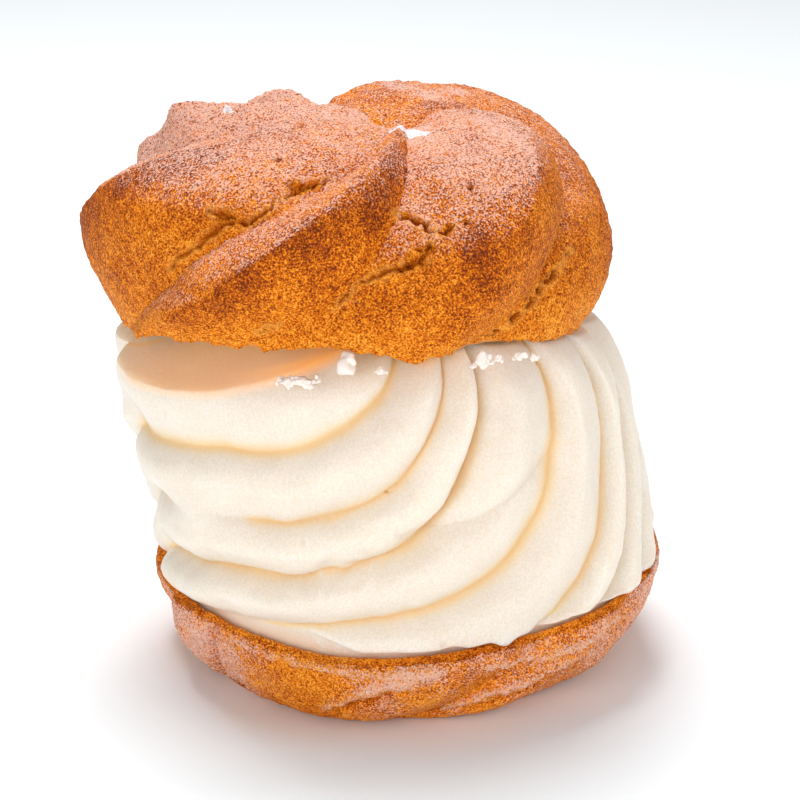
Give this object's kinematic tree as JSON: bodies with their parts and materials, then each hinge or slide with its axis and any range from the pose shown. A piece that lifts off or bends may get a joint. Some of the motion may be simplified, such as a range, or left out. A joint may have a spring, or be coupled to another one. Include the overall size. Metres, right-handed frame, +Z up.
{
  "type": "cream puff",
  "caption": "Choux cream puff: a piped rosette cut across, filled with a swirl of whipped cream, its petalled lid set on top.",
  "frame": {"origin": "on the flat underside of the lower shell, under the middle of its rim", "axes": "+Z up through the filling, -Y towards the side that shows, +X to the right as it shows"},
  "size_m": [0.0906, 0.0816, 0.0894],
  "materials": {
    "base_crust": "dry baked choux, pale golden, dusted with icing sugar along its ridges",
    "whipped_cream": "soft ivory whipped cream with a faint satin sheen",
    "lid_crust": "dry baked choux, browned along the crests, speckled, icing sugar on what faces up"
  },
  "bodies": {
    "root": {"shell_bottom": "base_crust", "cream_filling": "whipped_cream", "shell_lid": "lid_crust"}
  },
  "joints": []
}
